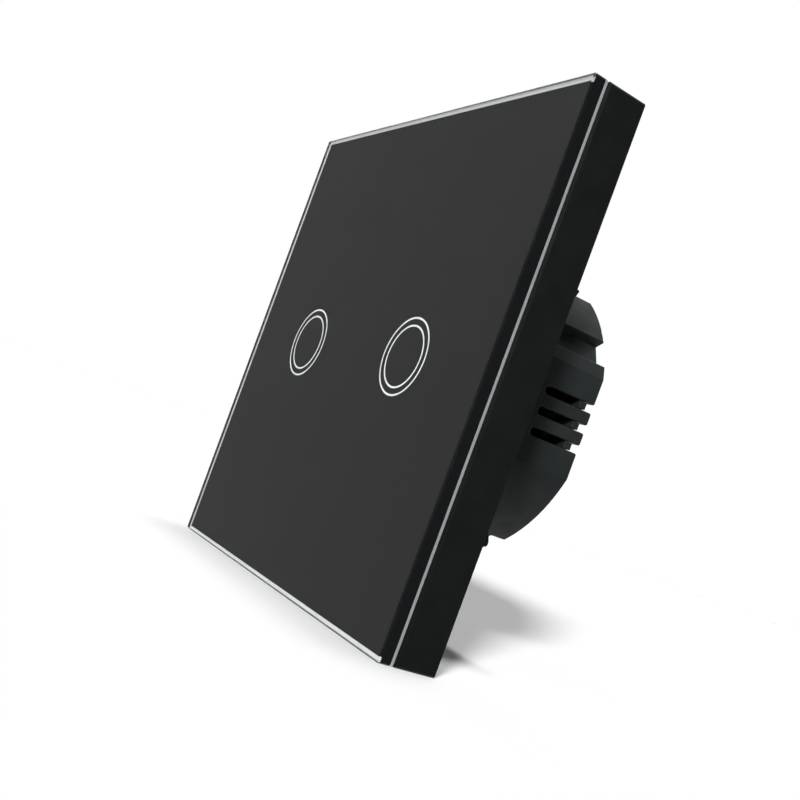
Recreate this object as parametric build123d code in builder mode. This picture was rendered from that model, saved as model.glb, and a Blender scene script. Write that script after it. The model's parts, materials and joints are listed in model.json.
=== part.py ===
from build123d import *
import math
import os

os.makedirs("parts", exist_ok=True)

# A two-gang touch switch as it hangs on a wall: X to the right, Y into the wall, Z up, millimetres.
# The wall is the plane Y = 0. A level is a distance from it towards the room, a depth a distance into it.

# Clearances shared by all pieces
overrun = 1.0
slip_gap = 0.05
seat_gap = 0.3

# Glass and what is bonded behind it
panel_margin = 4.5
glass_thickness = 1.9
glass_corner = 0.4
bevel_width = 0.25
bevel_depth = 0.25
print_thickness = 0.1
print_inset = 0.65
trim_thickness = 0.3
trim_width = 1.8
adhesive_width = 5.0

# Touch marks: two rings printed round each touch point
mark_radius = 6.15
mark_line = 0.3
mark_step = 1.2

# Frame that carries the glass
frame_wall = 2.0
frame_web = 1.6
frame_corner = 0.5
groove_height = 0.5
groove_inset = 0.3
rib_count = 5
rib_end_margin = 12.0
rib_width = 1.2
rib_height = 0.9
rib_length = 3.6
notch_width = 12.0
notch_height = 1.2
leg_width = 8.0
leg_thickness = 1.2
leg_length = 2.8
ridge_gap = 0.5
ridge_height = 1.2
ridge_reach = 0.9
ridge_lift = 0.2

# Steel mounting strap
strap_margin = 5.5
strap_bridge = 1.6
strap_thickness = 1.2
strap_corner = 5.0
slot_half_width = 2.0
slot_length = 7.0
tab_width = 14.0
tab_gap = 0.6
fork_width = 4.0
fork_gap = 0.2
tapped_radius = 1.25

# Barrel housing behind the wall plane, with a square flange in front of the strap
barrel_step = 0.5
barrel_wall = 1.8
flat_depth = 1.4
barrel_gap = 0.4
flange_margin = 1.0
flange_corner = 3.0
flange_thickness = 1.7
channel_angles = (30.6, 62.8, 298.9)
channel_width = 4.1
channel_depth = 1.9
channel_round = 1.1
channel_floor_wall = 1.5
pad_width = 6.6
vent_count = 3
vent_rib = 2.0
vent_width = 1.3
vent_length = 9.65
vent_round = 0.3
rim_round = 0.25
window_margin = 0.7
window_start = 5.6
window_length = 6.8
boss_radius = 2.6
boss_setback = 4.9
pilot_radius = 0.95
shelf_angles = (48.0, 135.5, 224.5, 330.0)
shelf_width = 4.0
shelf_reach = 1.7
shelf_length = 2.5
pip_radius = 1.2
pip_height = 0.8
pip_margin = 5.0
pip_spacing_z = 30.0

# Front cover over the touch board
cover_face = 1.0
cover_wall = 1.5
post_margin = 4.2
post_radius = 2.8
post_hole = 1.35
head_radius = 2.1
head_height = 1.4
head_sink = 1.6
head_slot_width = 0.6
head_slot_depth = 0.7
cross_share = 1.2
window_step = 0.8
lamp_room = 1.0
guide_margin = 1.1

# Touch board and what sits on it
touch_board_thickness = 1.0
guide_radius = 5.0
guide_hole_gap = 0.1
guide_flange_width = 0.8
guide_flange_thickness = 0.4
guide_pocket_radius = 1.5
guide_pocket_depth = 0.6
electrode_outer = 5.6
electrode_inner = 2.6
electrode_thickness = 0.2
led_side = 1.6
led_base = 0.4
led_dome_radius = 0.65
led_dome = 0.4
chip_length = 9.9
chip_width = 3.9
chip_height = 1.35
chip_lift = 0.15
chip_place_z = 8.0
chip_legs = 8
chip_leg_pitch = 1.15
chip_leg_width = 0.4
chip_leg_reach = 1.0
chip_leg_thickness = 0.2

# Plug-in header between the two boards
header_columns = 4
header_rows = 2
header_pitch = 2.0
header_margin = 0.3
header_drop = 14.0
header_height = 2.0
pin_side = 0.5
pin_overlap = 3.2

# Power board and what stands on it
board_gap = 0.3
board_depth = 3.0
power_board_thickness = 1.6
side_gap = 1.9
end_gap = 0.9
lid_gap = 0.6
wall_gap = 0.9
capacitor_radius = 4.0
capacitor_height = 11.5
capacitor_groove_height = 1.2
capacitor_groove_depth = 0.35
capacitor_groove_lift = 1.6
capacitor_drop = 6.5
film_thickness = 4.0
film_length = 10.0
film_height = 9.0
film_round = 0.5
film_rise = 5.5
drum_radius = 3.3
drum_height = 8.0
drum_flange = 1.2
drum_neck = 1.5
winding_radius = 2.9
drum_aside = 5.6
varistor_radius = 4.0
varistor_thickness = 3.4
varistor_lift = 0.4
varistor_aside = 7.4
fuse_width = 6.2
fuse_thickness = 4.0
fuse_height = 7.6
fuse_round = 0.6
fuse_aside = 3.7
bridge_width = 6.4
bridge_length = 8.0
bridge_height = 2.3
bridge_round = 0.3
bridge_aside = 9.0
bridge_rise = 8.0

# Relay, one for each lamp
relay_count = 2
relay_gap = 0.8
relay_shift = 1.1
relay_length = 20.5
relay_width = 7.2
relay_height = 15.0
relay_wall = 0.7
relay_base_lift = 0.3
relay_base_height = 1.2
relay_round = 0.6
yoke_thickness = 0.8
yoke_width = 5.0
yoke_margin = 0.95
yoke_foot = 7.5
core_spacing = 4.0
bobbin_radius = 2.6
bobbin_flange = 0.6
armature_room = 1.45
coil_radius = 2.3
core_radius = 1.8
core_cap = 0.5
air_gap = 0.4
armature_thickness = 0.7
armature_tail = 0.6
armature_length = 9.6
armature_width = 4.6
pivot_gap = 0.05
spring_thickness = 0.3
spring_width = 3.0
spring_grip = 3.0
contact_margin = 2.35
contact_radius = 1.2
contact_height = 0.8
contact_gap = 0.9
blade_width = 3.2
blade_thickness = 0.6

# Screw terminals for three wires
terminal_count = 3
cell_wall = 2.0
block_width = 10.0
block_gap = 1.0
head_cover = 0.75
block_side_wall = 1.0
block_entry_wall = 1.2
block_round = 0.4
cage_length = 5.0
cage_width = 6.0
cage_side = 0.8
cage_floor = 1.2
cage_inside = 4.4
cage_roof = 1.8
cage_start = 1.4
cage_round = 0.3
cage_play = 0.3
cage_travel = 2.0
tab_plate_thickness = 1.0
tab_side_gap = 0.1
tab_roof_gap = 0.4
tab_leg = 0.8
collar_thickness = 1.0
clamp_screw_radius = 1.5
clamp_head_radius = 2.6
clamp_head_height = 1.8
clamp_slot_width = 0.7
clamp_slot_depth = 0.9
entry_width = 4.8
entry_height = 3.4

# Back cover, set in from the rim of the barrel
back_cover_thickness = 1.3
back_cover_recess = 1.5
tongue_gap = 0.1
access_gap = 0.5
back_vent_count = 5
back_vent_pitch = 3.4
back_vent_width = 1.5
back_vent_length = 14.0
back_vent_place = 6.2
back_screw_hole = 1.25
back_screw_radius = 0.9
back_screw_length = 6.0
back_head_radius = 1.9
back_head_height = 1.2

# Levels towards the room, worked out from the stack of pieces
strap_front = strap_thickness
flange_front = strap_front + flange_thickness
board_back = flange_front + pip_height
board_front = board_back + touch_board_thickness
cover_inside = board_front + lamp_room
cover_front = cover_inside + cover_face
cover_depth = cover_front - flange_front
trim_front = cover_front + seat_gap
frame_depth = trim_front - trim_thickness
glass_back = trim_front + print_thickness
web_back = frame_depth - frame_web
leg_end = web_back - leg_length
tab_front = web_back - tab_gap
fork_bottom = leg_end + ridge_lift - fork_gap

# Depths behind the wall plane, and the heights of relay and terminal block
power_board_back = board_depth + power_board_thickness
cage_front = power_board_back + cage_start
cage_back = cage_front + cage_floor + cage_inside + cage_roof
collar_front = cage_back + cage_travel + slip_gap + cage_play / 2
collar_back = collar_front + collar_thickness
head_seat = collar_back + slip_gap
block_height = head_seat + clamp_head_height + head_cover - power_board_back
tab_depth = cage_front + cage_floor + cage_inside - tab_plate_thickness - tab_roof_gap
back_cover_inside = power_board_back + max(relay_height, block_height) + lid_gap
back_cover_outside = back_cover_inside + back_cover_thickness
barrel_depth = back_cover_outside + back_cover_recess
vent_start = barrel_depth - vent_length
bore_length = barrel_depth + flange_front

# Places on the power board: relays in the middle, terminals to their left, the rest round them
relay_pitch = relay_width + relay_gap
relay_places = [relay_shift + (index - (relay_count - 1) / 2) * relay_pitch for index in range(relay_count)]
relay_left = relay_places[0] - relay_width / 2
relay_right = relay_places[-1] + relay_width / 2
relay_end = relay_length / 2
block_inner_x = relay_left - block_gap
block_outer_x = block_inner_x - block_width
terminal_pitch = cage_width + 2 * cage_play + cell_wall
terminal_places = [(index - (terminal_count - 1) / 2) * terminal_pitch for index in range(terminal_count)]
block_z = (terminal_count - 1) * terminal_pitch + cage_width + 2 * cage_play + 2 * block_side_wall
cage_x = block_outer_x + block_entry_wall + cage_play + cage_length / 2
capacitor_place = (relay_right + side_gap + capacitor_radius, -capacitor_drop)
film_place = (relay_right + side_gap + film_thickness / 2, film_rise)
drum_place = (drum_aside, -relay_end - end_gap - drum_radius)
varistor_place = (varistor_aside, relay_end + end_gap + varistor_thickness / 2)
fuse_place = (-fuse_aside, relay_end + end_gap + fuse_thickness / 2)
bridge_place = (bridge_aside, bridge_rise)

# Barrel round the board: its radius clears the block's corners and is rounded up to a whole step
contents_reach = math.hypot(block_outer_x, block_z / 2) + wall_gap
barrel_radius = barrel_step * math.ceil((contents_reach + barrel_wall) / barrel_step)
barrel_flat = barrel_radius - flat_depth
bore_radius = barrel_radius - barrel_wall
bore_flat = barrel_flat - barrel_wall
channel_floor = barrel_radius - channel_depth
pad_inside = channel_floor - channel_floor_wall
boss_place = barrel_radius - boss_setback
window_height = block_z - 2 * window_margin
vent_pitch = vent_width + vent_rib
tongue_inner = bore_flat - board_gap - barrel_wall
tongue_outer = barrel_flat - tongue_gap
shoulder_x = barrel_radius - channel_round
shoulder_y = channel_width / 2 + channel_round
shoulder_turn = math.degrees(math.atan2(shoulder_y, shoulder_x))
corner_x = barrel_radius + (overrun - channel_round) / 2
corner_y = (channel_width + channel_round) / 2
corner_turn = math.degrees(math.atan2(corner_y, corner_x))
flange_side = 2 * (barrel_radius + flange_margin)
post_spacing = flange_side - 2 * post_margin
post_x = post_spacing / 2
pip_spacing_x = flange_side - 2 * pip_margin
cover_cavity = flange_side - 2 * cover_wall
access_radius = clamp_head_radius + access_gap
guide_opening = guide_radius + guide_hole_gap
touch_x = cover_cavity / 2 - guide_margin - guide_flange_width - guide_radius

# Strap and panel round the barrel
wall_screw_spacing = 2 * (barrel_radius + barrel_gap + strap_bridge) + slot_length
strap_side = wall_screw_spacing + 2 * strap_margin
panel_side = strap_side + 2 * panel_margin
trim_inside = panel_side - 2 * trim_width
adhesive_side = trim_inside - 2 * seat_gap
rib_pitch = (panel_side - 2 * frame_wall - 2 * rib_end_margin) / (rib_count - 1)
ridge_width = fork_width - 2 * ridge_gap


def level(distance):
    """Sketch plane facing the room, at this distance in front of the wall."""
    return Plane.XZ.offset(distance)


def inside_wall(depth):
    """Sketch plane facing the room, at this depth behind the wall plane."""
    return Plane.XZ.offset(-depth)


def ring_plate(outside, inside):
    Rectangle(outside, outside)
    Rectangle(inside, inside, mode=Mode.SUBTRACT)


def barrel_outline(radius, flat):
    """A circle with a flat at its left and right."""
    Circle(radius)
    Rectangle(2 * flat, 2 * radius, mode=Mode.INTERSECT)


def pad_blocks(gap, mode):
    """The thicker wall behind each guide channel, from its inner face to past the bore."""
    reach = bore_radius - pad_inside + overrun + gap
    for angle in channel_angles:
        with PolarLocations(pad_inside - gap + reach / 2, 1, start_angle=angle):
            Rectangle(reach, pad_width + 2 * gap, mode=mode)


def disc_in_barrel():
    """Outline of a board or cover that drops into the barrel."""
    barrel_outline(bore_radius - board_gap, bore_flat - board_gap)
    pad_blocks(board_gap, Mode.SUBTRACT)


# Glass: flat sheet with a polished bevel round its front face
with BuildPart() as glass_panel:
    with BuildSketch(level(glass_back)):
        Rectangle(panel_side, panel_side)
    extrude(amount=glass_thickness)
    front_face = glass_panel.faces().sort_by(Axis.Y)[0]
    chamfer(front_face.edges(), length=bevel_width, length2=bevel_depth, reference=front_face)
    corner_edges = glass_panel.edges().filter_by(Axis.Y)
    fillet(corner_edges, radius=glass_corner)
glass_panel.part.label = "glass_panel"
export_step(glass_panel.part, "parts/glass_panel.step")

# Black layer printed on the back of the glass, open where the marks are
with BuildPart() as back_print:
    with BuildSketch(level(trim_front)):
        Rectangle(panel_side - 2 * print_inset, panel_side - 2 * print_inset)
        with Locations((-touch_x, 0), (touch_x, 0)):
            Circle(mark_radius, mode=Mode.SUBTRACT)
    extrude(amount=print_thickness)
    with BuildSketch(level(trim_front)):
        with Locations((-touch_x, 0), (touch_x, 0)):
            Circle(mark_radius - mark_line)
            Circle(mark_radius - mark_step, mode=Mode.SUBTRACT)
    extrude(amount=print_thickness)
    with BuildSketch(level(trim_front)):
        with Locations((-touch_x, 0), (touch_x, 0)):
            Circle(mark_radius - mark_step - mark_line)
    extrude(amount=print_thickness)
back_print.part.label = "back_print"
export_step(back_print.part, "parts/back_print.step")

# Silver rings in the openings of the print
with BuildPart() as touch_marks:
    for outer in (mark_radius, mark_radius - mark_step):
        with BuildSketch(level(trim_front)):
            with Locations((-touch_x, 0), (touch_x, 0)):
                Circle(outer)
                Circle(outer - mark_line, mode=Mode.SUBTRACT)
        extrude(amount=print_thickness)
touch_marks.part.label = "touch_marks"
export_step(touch_marks.part, "parts/touch_marks.step")

# Thin silver border between the glass and the frame
with BuildPart() as silver_trim:
    with BuildSketch(level(frame_depth)):
        RectangleRounded(panel_side, panel_side, frame_corner)
        Rectangle(trim_inside, panel_side - 2 * trim_width, mode=Mode.SUBTRACT)
    extrude(amount=trim_thickness)
silver_trim.part.label = "silver_trim"
export_step(silver_trim.part, "parts/silver_trim.step")

# Double-sided tape that bonds the glass to the frame's web
with BuildPart() as panel_adhesive:
    with BuildSketch(level(frame_depth)):
        ring_plate(adhesive_side, adhesive_side - 2 * adhesive_width)
    extrude(amount=trim_thickness)
panel_adhesive.part.label = "panel_adhesive"
export_step(panel_adhesive.part, "parts/panel_adhesive.step")

# Plastic frame: side walls, web behind the glass, ribs, four spring legs and a notch for prising it off
leg_inside = strap_side / 2 + seat_gap
wall_inside = panel_side / 2 - frame_wall
with BuildPart() as panel_frame:
    with BuildSketch(level(0)):
        RectangleRounded(panel_side, panel_side, frame_corner)
    extrude(amount=frame_depth - groove_height)
    with BuildSketch(level(frame_depth - groove_height)):
        Rectangle(panel_side - 2 * groove_inset, panel_side - 2 * groove_inset)
    extrude(amount=groove_height)
    with BuildSketch(level(0)):
        Rectangle(panel_side - 2 * frame_wall, panel_side - 2 * frame_wall)
    extrude(amount=web_back, mode=Mode.SUBTRACT)
    window_side = flange_side + 2 * window_step
    with BuildSketch(level(web_back - overrun)):
        RectangleRounded(window_side, window_side, flange_corner + window_step)
    extrude(amount=frame_web + 2 * overrun, mode=Mode.SUBTRACT)
    with BuildSketch(level(web_back)):
        for turn in range(4):
            with PolarLocations(leg_inside + leg_thickness / 2, 1, start_angle=90 * turn):
                Rectangle(leg_thickness, leg_width)
    extrude(amount=-leg_length)
    with BuildSketch(level(leg_end + ridge_lift)):
        for turn in range(4):
            with PolarLocations(leg_inside - ridge_reach / 2, 1, start_angle=90 * turn):
                Rectangle(ridge_reach, ridge_width)
    extrude(amount=ridge_height)
    with BuildSketch(level(web_back)):
        for turn in range(4):
            for index in range(rib_count):
                offset_along = (index - (rib_count - 1) / 2) * rib_pitch
                if abs(offset_along) > leg_width / 2:
                    with Locations(Location((0, 0), 90 * turn)):
                        with Locations((wall_inside - rib_height / 2, offset_along)):
                            Rectangle(rib_height, rib_width)
    extrude(amount=-rib_length)
    with BuildSketch(level(0)):
        with Locations((0, -panel_side / 2 + frame_wall / 2)):
            Rectangle(notch_width, frame_wall + overrun)
    extrude(amount=notch_height, mode=Mode.SUBTRACT)
panel_frame.part.label = "panel_frame"
export_step(panel_frame.part, "parts/panel_frame.step")

# Steel strap: slotted for the wall-box screws, with a forked tab bent up at each side
with BuildPart() as mounting_strap:
    with BuildSketch(level(0)):
        Rectangle(strap_side, strap_side)
        chamfer(vertices(), length=strap_corner)
        Circle(barrel_radius + barrel_gap, mode=Mode.SUBTRACT)
        with Locations((-wall_screw_spacing / 2, 0), (wall_screw_spacing / 2, 0)):
            SlotOverall(slot_length, 2 * slot_half_width, mode=Mode.SUBTRACT)
        with Locations((0, -wall_screw_spacing / 2), (0, wall_screw_spacing / 2)):
            SlotOverall(slot_length, 2 * slot_half_width, rotation=90, mode=Mode.SUBTRACT)
        with GridLocations(post_spacing, post_spacing, 2, 2):
            Circle(tapped_radius, mode=Mode.SUBTRACT)
    extrude(amount=strap_thickness)
    tab_place = strap_side / 2 - strap_thickness / 2
    with BuildSketch(level(strap_front)):
        for turn in range(4):
            with PolarLocations(tab_place, 1, start_angle=90 * turn):
                Rectangle(strap_thickness, tab_width)
    extrude(amount=tab_front - strap_front)
    with BuildSketch(level(fork_bottom)):
        for turn in range(4):
            with PolarLocations(tab_place, 1, start_angle=90 * turn):
                Rectangle(strap_thickness + overrun, fork_width)
    extrude(amount=tab_front - fork_bottom + overrun, mode=Mode.SUBTRACT)
mounting_strap.part.label = "mounting_strap"
export_step(mounting_strap.part, "parts/mounting_strap.step")

# Barrel housing: flange, barrel with flats, guide channels, vents, wire window, screw bosses and shelves
with BuildPart() as module_housing:
    with BuildSketch(level(strap_front)):
        RectangleRounded(flange_side, flange_side, flange_corner)
    extrude(amount=flange_thickness)
    with BuildSketch(level(strap_front)):
        barrel_outline(barrel_radius, barrel_flat)
    extrude(amount=-(barrel_depth + strap_front))
    rim_edges = module_housing.faces().sort_by(Axis.Y)[-1].edges()
    fillet(rim_edges, radius=rim_round)
    with BuildSketch(level(flange_front + overrun)):
        barrel_outline(bore_radius, bore_flat)
        pad_blocks(0, Mode.SUBTRACT)
    extrude(amount=-(bore_length + 2 * overrun), mode=Mode.SUBTRACT)
    with BuildSketch(inside_wall(0)):
        for angle in channel_angles:
            with PolarLocations(channel_floor + (channel_depth + overrun) / 2, 1, start_angle=angle):
                Rectangle(channel_depth + overrun, channel_width)
            corner_reach = math.hypot(corner_x, corner_y)
            with PolarLocations(corner_reach, 1, start_angle=angle - corner_turn):
                Rectangle(channel_round + overrun, channel_round, rotation=corner_turn)
            shoulder_reach = math.hypot(shoulder_x, shoulder_y)
            with PolarLocations(shoulder_reach, 1, start_angle=angle - shoulder_turn):
                Circle(channel_round, mode=Mode.SUBTRACT)
    extrude(amount=-(barrel_depth + overrun), mode=Mode.SUBTRACT)
    with BuildSketch(level(strap_front - overrun)):
        with GridLocations(post_spacing, post_spacing, 2, 2):
            Circle(post_hole)
    extrude(amount=flange_thickness + 2 * overrun, mode=Mode.SUBTRACT)
    with BuildSketch(level(flange_front)):
        with GridLocations(pip_spacing_x, pip_spacing_z, 2, 2):
            Circle(pip_radius)
    extrude(amount=pip_height)
    boss_length = back_cover_inside - power_board_back
    with BuildSketch(inside_wall(power_board_back)):
        with Locations((0, -boss_place), (0, boss_place)):
            Circle(boss_radius)
        boss_web = bore_radius + barrel_wall / 2 - boss_place
        with Locations((0, -boss_place - boss_web / 2), (0, boss_place + boss_web / 2)):
            Rectangle(2 * boss_radius, boss_web)
        Circle(bore_radius + barrel_wall / 2, mode=Mode.INTERSECT)
    extrude(amount=-boss_length)
    with BuildSketch(inside_wall(back_cover_inside + overrun)):
        with Locations((0, -boss_place), (0, boss_place)):
            Circle(pilot_radius)
    extrude(amount=boss_length, mode=Mode.SUBTRACT)
    for shelf_depth in (power_board_back, back_cover_inside - shelf_length):
        with BuildSketch(inside_wall(shelf_depth)):
            for angle in shelf_angles:
                with PolarLocations(bore_radius + (barrel_wall - shelf_reach) / 2, 1, start_angle=angle):
                    Rectangle(shelf_reach + barrel_wall / 2, shelf_width)
            Circle(bore_radius + barrel_wall / 2, mode=Mode.INTERSECT)
        extrude(amount=-shelf_length)
    with BuildSketch(Plane.YZ.offset(bore_flat - overrun)):
        for index in range(vent_count):
            vent_z = (index - (vent_count - 1) / 2) * vent_pitch
            vent_middle = vent_start + (vent_length + vent_width) / 2
            with Locations((vent_middle, vent_z)):
                SlotOverall(vent_length + vent_width, vent_width)
            with Locations((vent_middle + vent_width, vent_z)):
                Rectangle(vent_length - vent_width, vent_width)
    extrude(amount=barrel_wall + 2 * overrun, mode=Mode.SUBTRACT)
    mouth_edges = module_housing.edges().filter_by(Axis.X).group_by(Axis.Y)[-1]
    fillet(mouth_edges, radius=vent_round)
    window_depth = barrel_radius - math.sqrt(bore_radius**2 - (window_height / 2) ** 2) + overrun
    with BuildSketch(Plane.YZ.offset(-barrel_radius - overrun)):
        with Locations((window_start + window_length / 2, 0)):
            RectangleRounded(window_length, window_height, vent_round)
    extrude(amount=window_depth + overrun, mode=Mode.SUBTRACT)
module_housing.part.label = "module_housing"
export_step(module_housing.part, "parts/module_housing.step")

# Back cover with tongues in the vents, holes for a screwdriver and its own two screws
with BuildPart() as back_cover:
    with BuildSketch(inside_wall(back_cover_inside)):
        disc_in_barrel()
        with Locations(((tongue_inner + tongue_outer) / 2, 0)):
            with GridLocations(0, vent_pitch, 1, vent_count):
                Rectangle(tongue_outer - tongue_inner, vent_width - 2 * tongue_gap)
        with Locations(*[(cage_x, place) for place in terminal_places]):
            Circle(access_radius, mode=Mode.SUBTRACT)
        with Locations((0, -boss_place), (0, boss_place)):
            Circle(back_screw_hole, mode=Mode.SUBTRACT)
        with Locations((back_vent_place, 0)):
            with GridLocations(back_vent_pitch, 0, back_vent_count, 1):
                SlotOverall(back_vent_length, back_vent_width, rotation=90, mode=Mode.SUBTRACT)
    extrude(amount=-back_cover_thickness)
back_cover.part.label = "back_cover"
export_step(back_cover.part, "parts/back_cover.step")

with BuildPart() as back_screws:
    with BuildSketch(inside_wall(back_cover_outside)):
        with Locations((0, -boss_place), (0, boss_place)):
            Circle(back_head_radius)
    extrude(amount=-back_head_height)
    fillet(back_screws.faces().sort_by(Axis.Y)[-1].edges(), radius=back_head_height / 3)
    with BuildSketch(inside_wall(back_cover_outside)):
        with Locations((0, -boss_place), (0, boss_place)):
            Circle(back_screw_radius)
    extrude(amount=back_screw_length)
    with BuildSketch(inside_wall(back_cover_outside + back_head_height)):
        with Locations((0, -boss_place), (0, boss_place)):
            Rectangle(cross_share * back_head_radius, head_slot_width)
            Rectangle(head_slot_width, cross_share * back_head_radius)
    extrude(amount=back_head_height / 2, mode=Mode.SUBTRACT)
back_screws.part.label = "back_cover_screws"
export_step(back_screws.part, "parts/back_cover_screws.step")

# Front cover: a shallow box with four screw posts and two openings for the light guides
with BuildPart() as front_cover:
    with BuildSketch(level(flange_front)):
        RectangleRounded(flange_side, flange_side, flange_corner)
    extrude(amount=cover_depth)
    fillet(front_cover.faces().sort_by(Axis.Y)[0].edges(), radius=rim_round)
    with BuildSketch(level(flange_front)):
        Rectangle(cover_cavity, cover_cavity)
    extrude(amount=cover_inside - flange_front, mode=Mode.SUBTRACT)
    with BuildSketch(level(flange_front)):
        with GridLocations(post_spacing, post_spacing, 2, 2):
            Circle(post_radius)
    extrude(amount=cover_depth - cover_face / 2)
    with BuildSketch(level(flange_front - overrun)):
        with GridLocations(post_spacing, post_spacing, 2, 2):
            Circle(post_hole)
    extrude(amount=cover_depth + 2 * overrun, mode=Mode.SUBTRACT)
    with BuildSketch(level(cover_front - head_sink)):
        with GridLocations(post_spacing, post_spacing, 2, 2):
            Circle(head_radius + slip_gap)
    extrude(amount=head_sink + overrun, mode=Mode.SUBTRACT)
    with BuildSketch(level(cover_inside - overrun)):
        with Locations((-touch_x, 0), (touch_x, 0)):
            Circle(guide_opening)
    extrude(amount=cover_face + 2 * overrun, mode=Mode.SUBTRACT)
front_cover.part.label = "front_cover"
export_step(front_cover.part, "parts/front_cover.step")

# Four screws through cover and flange into the strap
with BuildPart() as front_screws:
    with BuildSketch(level(cover_front - head_sink)):
        with GridLocations(post_spacing, post_spacing, 2, 2):
            Circle(head_radius)
    extrude(amount=head_height)
    fillet(front_screws.faces().sort_by(Axis.Y)[0].edges(), radius=head_height / 3)
    with BuildSketch(level(cover_front - head_sink)):
        with GridLocations(post_spacing, post_spacing, 2, 2):
            Circle(tapped_radius - slip_gap)
    extrude(amount=-(cover_front - head_sink))
    with BuildSketch(level(cover_front - head_sink + head_height)):
        with GridLocations(post_spacing, post_spacing, 2, 2):
            Rectangle(cross_share * head_radius, head_slot_width)
            Rectangle(head_slot_width, cross_share * head_radius)
    extrude(amount=-head_slot_depth, mode=Mode.SUBTRACT)
front_screws.part.label = "front_screws"
export_step(front_screws.part, "parts/front_screws.step")

# Touch board, cut back at the corners to clear the posts
touch_board_side = cover_cavity - 2 * seat_gap
board_corner = touch_board_side - 2 * post_x + (post_radius + seat_gap) * math.sqrt(2)
with BuildPart() as touch_board:
    with BuildSketch(level(board_back)):
        Rectangle(touch_board_side, touch_board_side)
        chamfer(vertices(), length=board_corner)
    extrude(amount=touch_board_thickness)
touch_board.part.label = "touch_board"
export_step(touch_board.part, "parts/touch_board.step")

# Light guide, electrode and lamp at each touch point
for side, centre_x in (("left", -touch_x), ("right", touch_x)):
    with BuildPart() as light_guide:
        with BuildSketch(level(cover_inside)):
            with Locations((centre_x, 0)):
                Circle(guide_radius)
        extrude(amount=cover_face)
        with BuildSketch(level(cover_inside)):
            with Locations((centre_x, 0)):
                Circle(guide_radius + guide_flange_width)
        extrude(amount=-guide_flange_thickness)
        with BuildSketch(level(cover_inside - guide_flange_thickness)):
            with Locations((centre_x, 0)):
                Circle(guide_pocket_radius)
        extrude(amount=guide_pocket_depth, mode=Mode.SUBTRACT)
    light_guide.part.label = f"light_guide_{side}"
    export_step(light_guide.part, f"parts/light_guide_{side}.step")

    with BuildPart() as electrode:
        with BuildSketch(level(board_front)):
            with Locations((centre_x, 0)):
                Circle(electrode_outer)
                Circle(electrode_inner, mode=Mode.SUBTRACT)
        extrude(amount=electrode_thickness)
    electrode.part.label = f"touch_electrode_{side}"
    export_step(electrode.part, f"parts/touch_electrode_{side}.step")

    with BuildPart() as lamp:
        with BuildSketch(level(board_front)):
            with Locations((centre_x, 0)):
                Rectangle(led_side, led_side)
        extrude(amount=led_base)
        with BuildSketch(level(board_front + led_base)):
            with Locations((centre_x, 0)):
                Circle(led_dome_radius)
        extrude(amount=led_dome)
        fillet(lamp.faces().sort_by(Axis.Y)[0].edges(), radius=led_dome / 2)
    lamp.part.label = f"indicator_lamp_{side}"
    export_step(lamp.part, f"parts/indicator_lamp_{side}.step")

# Touch controller chip under the touch board, with a row of bent legs on each side
with BuildPart() as touch_chip:
    with BuildSketch(level(board_back - chip_lift)):
        with Locations((0, chip_place_z)):
            Rectangle(chip_length, chip_width)
    extrude(amount=-chip_height)
    leg_rise = chip_lift + chip_height / 2
    for way in (-1, 1):
        with BuildSketch(level(board_back - leg_rise)):
            with Locations((0, chip_place_z + way * (chip_width + chip_leg_reach) / 2)):
                with GridLocations(chip_leg_pitch, 0, chip_legs, 1):
                    Rectangle(chip_leg_width, chip_leg_reach)
        extrude(amount=chip_leg_thickness)
        with BuildSketch(level(board_back - leg_rise)):
            with Locations((0, chip_place_z + way * (chip_width / 2 + chip_leg_reach))):
                with GridLocations(chip_leg_pitch, 0, chip_legs, 1):
                    Rectangle(chip_leg_width, chip_leg_thickness)
        extrude(amount=leg_rise)
touch_chip.part.label = "touch_controller"
export_step(touch_chip.part, "parts/touch_controller.step")

# Header under the touch board and its socket on the power board
header_width = header_columns * header_pitch + 2 * header_margin
header_length = header_rows * header_pitch + 2 * header_margin
header_end = board_back - header_height
socket_front = header_end - slip_gap
pin_end = header_end - pin_overlap
for name, top, bottom in (
    ("header_body", board_back, header_end),
    ("header_socket", socket_front, -board_depth),
):
    with BuildPart() as header:
        with BuildSketch(level(top)):
            with Locations((0, -header_drop)):
                Rectangle(header_width, header_length)
                with GridLocations(header_pitch, header_pitch, header_columns, header_rows):
                    Rectangle(pin_side + 2 * slip_gap, pin_side + 2 * slip_gap, mode=Mode.SUBTRACT)
        extrude(amount=bottom - top)
    header.part.label = name
    export_step(header.part, f"parts/{name}.step")

with BuildPart() as header_pins:
    with BuildSketch(level(board_back)):
        with Locations((0, -header_drop)):
            with GridLocations(header_pitch, header_pitch, header_columns, header_rows):
                Rectangle(pin_side, pin_side)
    extrude(amount=pin_end - board_back)
header_pins.part.label = "header_pins"
export_step(header_pins.part, "parts/header_pins.step")

# Power board, keyed to the barrel
with BuildPart() as power_board:
    with BuildSketch(inside_wall(board_depth)):
        disc_in_barrel()
    extrude(amount=-power_board_thickness)
power_board.part.label = "power_board"
export_step(power_board.part, "parts/power_board.step")

# Smoothing capacitor with its rolled groove
with BuildPart() as capacitor:
    with BuildSketch(inside_wall(power_board_back)):
        with Locations(capacitor_place):
            Circle(capacitor_radius)
    extrude(amount=-capacitor_height)
    fillet(capacitor.faces().sort_by(Axis.Y)[-1].edges(), radius=film_round)
    with BuildSketch(inside_wall(power_board_back + capacitor_groove_lift)):
        with Locations(capacitor_place):
            Circle(capacitor_radius + overrun)
            Circle(capacitor_radius - capacitor_groove_depth, mode=Mode.SUBTRACT)
    extrude(amount=-capacitor_groove_height, mode=Mode.SUBTRACT)
capacitor.part.label = "smoothing_capacitor"
export_step(capacitor.part, "parts/smoothing_capacitor.step")

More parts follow.
